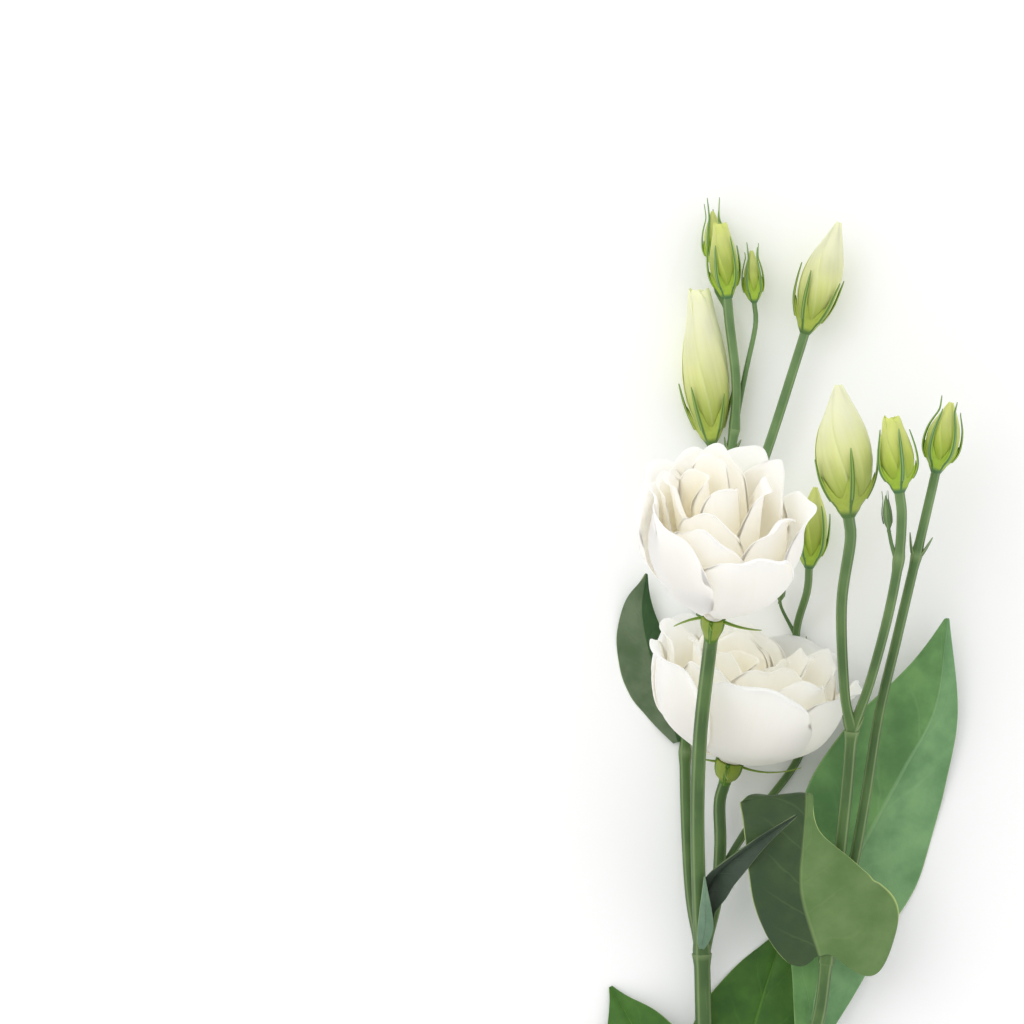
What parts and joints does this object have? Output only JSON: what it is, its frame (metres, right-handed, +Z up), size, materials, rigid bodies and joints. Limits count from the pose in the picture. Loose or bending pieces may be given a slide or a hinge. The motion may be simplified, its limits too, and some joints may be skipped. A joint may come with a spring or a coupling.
{
  "type": "lisianthus flower",
  "caption": "Cut flowering stem of white double lisianthus with open blooms, green buds and leaves, lying on its back.",
  "frame": {"origin": "middle of the footprint on the surface that the stem lies on", "axes": "+Y from the cut foot towards the highest bud, +Z up from the surface towards the viewer"},
  "size_m": [0.1178, 0.4198, 0.1233],
  "materials": {
    "petal": "soft matt white petal, creamy in the folds",
    "cream_bud": "matt cream-green bud petal, greener at its base",
    "green_bud": "matt fresh green bud petal with a paler tip",
    "sepal": "smooth matt green sepal with a paler edge",
    "stem": "smooth green stalk with a waxy bloom",
    "leaf": "matt grey-green leaf with a pale edge",
    "dark_leaf": "matt dark green leaf",
    "bract": "waxy blue-green bract"
  },
  "bodies": {
    "root": {"stem": "stem", "front_bloom_petals": "petal", "front_bloom_calyx": "sepal", "low_bloom_petals": "petal", "low_bloom_calyx": "sepal", "plump_bud_petals": "cream_bud", "plump_bud_calyx": "sepal", "middle_bud_petals": "green_bud", "middle_bud_calyx": "sepal", "outer_bud_petals": "green_bud", "outer_bud_calyx": "sepal", "creamy_bud_petals": "cream_bud", "creamy_bud_calyx": "sepal", "tall_bud_petals": "cream_bud", "tall_bud_calyx": "sepal", "slim_bud_petals": "green_bud", "slim_bud_calyx": "sepal", "hidden_bud_petals": "green_bud", "hidden_bud_calyx": "sepal", "long_sepal_bud_petals": "green_bud", "long_sepal_bud_calyx": "sepal", "small_bud_petals": "green_bud", "small_bud_calyx": "sepal", "right_leaf": "leaf", "wavy_leaf": "leaf", "dark_leaf": "dark_leaf", "front_bract": "bract", "left_leaf": "dark_leaf", "foot_leaf_right": "leaf", "foot_leaf_left": "leaf"}
  },
  "joints": []
}
